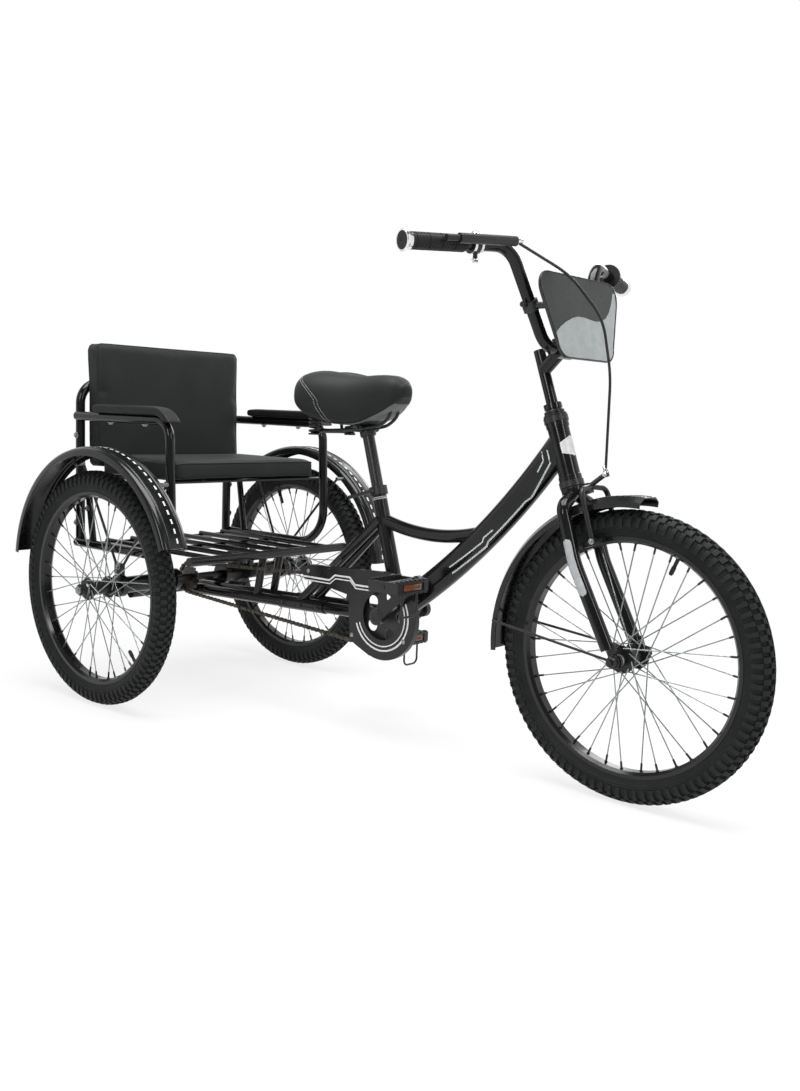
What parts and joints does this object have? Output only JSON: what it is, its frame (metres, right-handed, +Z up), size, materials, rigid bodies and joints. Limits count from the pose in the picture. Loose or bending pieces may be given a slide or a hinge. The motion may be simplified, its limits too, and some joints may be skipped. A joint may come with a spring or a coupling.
{
  "type": "adult tricycle",
  "caption": "Adult tricycle with wire wheels, low curved frame, sprung saddle, enclosed chain drive and a cushioned passenger bench over the rear axle.",
  "frame": {"origin": "ground level under the middle of the bounding box", "axes": "+X forward, +Y to the rider's left, +Z up"},
  "size_m": [1.7177, 0.7298, 0.9918],
  "materials": {
    "black_steel": "satin",
    "cable_black": "satin",
    "chain_steel": "oiled",
    "chrome_ring": "polished",
    "foam_rubber": "matte",
    "frame_black": "gloss",
    "gloss_black_plastic": "gloss",
    "gloss_black_sheet": "gloss",
    "rim_black": "gloss",
    "spoke_steel": "bright",
    "tyre_rubber": "matte",
    "vinyl_black": "matte vinyl",
    "zinc_steel": "zinc plated"
  },
  "bodies": {
    "frame": {"head_tube": "frame_black", "headset_cups": "black_steel", "down_tube": "frame_black", "top_tube": "frame_black", "seat_tube": "frame_black", "bottom_bracket": "frame_black", "seat_stays": "frame_black", "chain_stays": "frame_black", "axle_housing": "frame_black", "platform_rack": "frame_black", "bench_frame": "frame_black", "bench_cushion": "vinyl_black", "backrest_cushion": "vinyl_black", "armrest_pads": "foam_rubber", "rear_mudguard_right": "gloss_black_sheet", "rear_mudguard_left": "gloss_black_sheet", "mudguard_stays": "black_steel", "chain_guard": "gloss_black_plastic", "chain": "chain_steel", "seat_post": "black_steel", "seat_clamp": "black_steel", "saddle": "vinyl_black", "saddle_frame": "black_steel"},
    "steering": {"fork": "frame_black", "stem": "frame_black", "handlebar": "frame_black", "grips": "foam_rubber", "grip_rings": "chrome_ring", "brake_lever": "black_steel", "brake_cable": "cable_black", "brake_caliper": "black_steel", "front_mudguard": "gloss_black_sheet", "front_stays": "black_steel", "front_plate": "gloss_black_plastic", "front_axle": "zinc_steel"},
    "front_wheel": {"front_tyre": "tyre_rubber", "front_rim": "rim_black", "front_spokes": "spoke_steel", "front_hub": "black_steel"},
    "rear_wheel_right": {"rear_tyre_right": "tyre_rubber", "rear_rim_right": "rim_black", "rear_spokes_right": "spoke_steel", "rear_hub_right": "black_steel"},
    "rear_wheel_left": {"rear_tyre_left": "tyre_rubber", "rear_rim_left": "rim_black", "rear_spokes_left": "spoke_steel", "rear_hub_left": "black_steel", "rear_axle": "zinc_steel", "rear_sprocket": "chain_steel"},
    "crank": {"crank_arms": "black_steel", "chainwheel": "black_steel"},
    "pedal_right": {"pedal_right": "gloss_black_plastic"},
    "pedal_left": {"pedal_left": "gloss_black_plastic"}
  },
  "joints": [
    {"name": "steering", "type": "hinge", "parent": "frame", "child": "steering", "pos_m": [0.45318, 0, 0.56949], "axis": [-0.3338, 0, 0.9426], "range_deg": [-50, 50]},
    {"name": "front_wheel_spin", "type": "hinge", "parent": "steering", "child": "front_wheel", "pos_m": [0.59389, 0, 0.265], "axis": [0, 1, 0], "continuous": true},
    {"name": "rear_right_spin", "type": "hinge", "parent": "frame", "child": "rear_wheel_right", "pos_m": [-0.57411, -0.309, 0.265], "axis": [0, 1, 0], "continuous": true},
    {"name": "rear_left_spin", "type": "hinge", "parent": "frame", "child": "rear_wheel_left", "pos_m": [-0.57411, 0.309, 0.265], "axis": [0, 1, 0], "continuous": true},
    {"name": "crank_spin", "type": "hinge", "parent": "frame", "child": "crank", "pos_m": [0.05789, 0, 0.266], "axis": [0, 1, 0], "continuous": true},
    {"name": "pedal_right_spin", "type": "hinge", "parent": "crank", "child": "pedal_right", "pos_m": [0.16129, -0.133, 0.35123], "axis": [0, 1, 0], "continuous": true},
    {"name": "pedal_left_spin", "type": "hinge", "parent": "crank", "child": "pedal_left", "pos_m": [-0.0455, 0.133, 0.18077], "axis": [0, 1, 0], "continuous": true}
  ]
}
